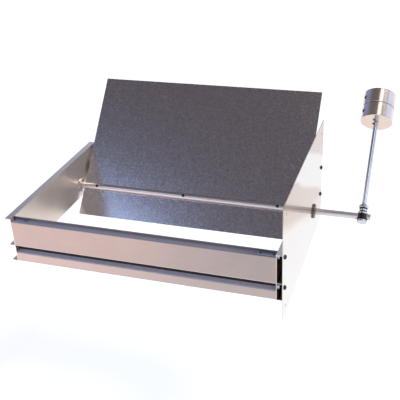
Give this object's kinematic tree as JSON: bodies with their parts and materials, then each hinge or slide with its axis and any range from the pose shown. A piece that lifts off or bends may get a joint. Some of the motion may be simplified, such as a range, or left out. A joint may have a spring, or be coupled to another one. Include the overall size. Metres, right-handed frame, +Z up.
{
  "type": "duct damper",
  "caption": "Rectangular relief damper for an air duct: an off-centre sheet blade on a through shaft in a shallow frame, with a side mounting plate and a weighted arm outside.",
  "frame": {"origin": "centre of the mounting plate's duct-side face, which is also the centre of its four corner holes", "axes": "+X along the shaft, out of the duct towards the weighted arm; +Y from the front rail to the back rail; +Z up, the way the open blade and the arm point"},
  "size_m": [0.6612, 0.5212, 0.2638],
  "materials": {
    "frame_metal": "plain mill finish sheet section",
    "plate_metal": "bright galvanised sheet",
    "clip_metal": "zinc plated sheet",
    "bushing_bronze": "sintered bronze",
    "dark_screw": "dark oxide",
    "zinc_nut": "bright zinc plate",
    "blade_sheet": "galvanised sheet with a fine spangle",
    "shaft_steel": "bright drawn bar",
    "weight_steel": "turned and polished"
  },
  "bodies": {
    "frame": {"front_rail": "frame_metal", "back_rail": "frame_metal", "left_wall": "frame_metal", "right_wall": "frame_metal", "mounting_plate": "plate_metal", "front_left_clip": "clip_metal", "front_right_clip": "clip_metal", "back_left_clip": "clip_metal", "back_right_clip": "clip_metal", "blade_stop": "clip_metal", "left_bushing": "bushing_bronze", "right_bushing": "bushing_bronze", "plate_bushing": "bushing_bronze", "plate_screw_1": "dark_screw", "plate_screw_2": "dark_screw", "plate_screw_3": "dark_screw", "plate_screw_4": "dark_screw", "plate_nuts": "zinc_nut"},
    "blade_and_arm": {"blade": "blade_sheet", "shaft": "shaft_steel", "blade_screw_1": "dark_screw", "blade_screw_2": "dark_screw", "blade_screw_3": "dark_screw", "blade_nuts": "zinc_nut", "arm_hub": "zinc_nut", "arm_rod": "shaft_steel", "hub_lock_washer": "dark_screw", "rod_washer": "zinc_nut", "rod_lock_washer": "dark_screw", "rod_nut": "zinc_nut", "stop_pin": "dark_screw", "lower_weight": "weight_steel", "upper_weight": "weight_steel", "lower_weight_screw": "dark_screw", "upper_weight_screw": "dark_screw"}
  },
  "joints": [
    {"name": "blade_hinge", "type": "hinge", "parent": "frame", "child": "blade_and_arm", "pos_m": [0, 0.0974, -0.0485], "axis": [1, 0, 0], "range_deg": [0, 131.6]}
  ]
}
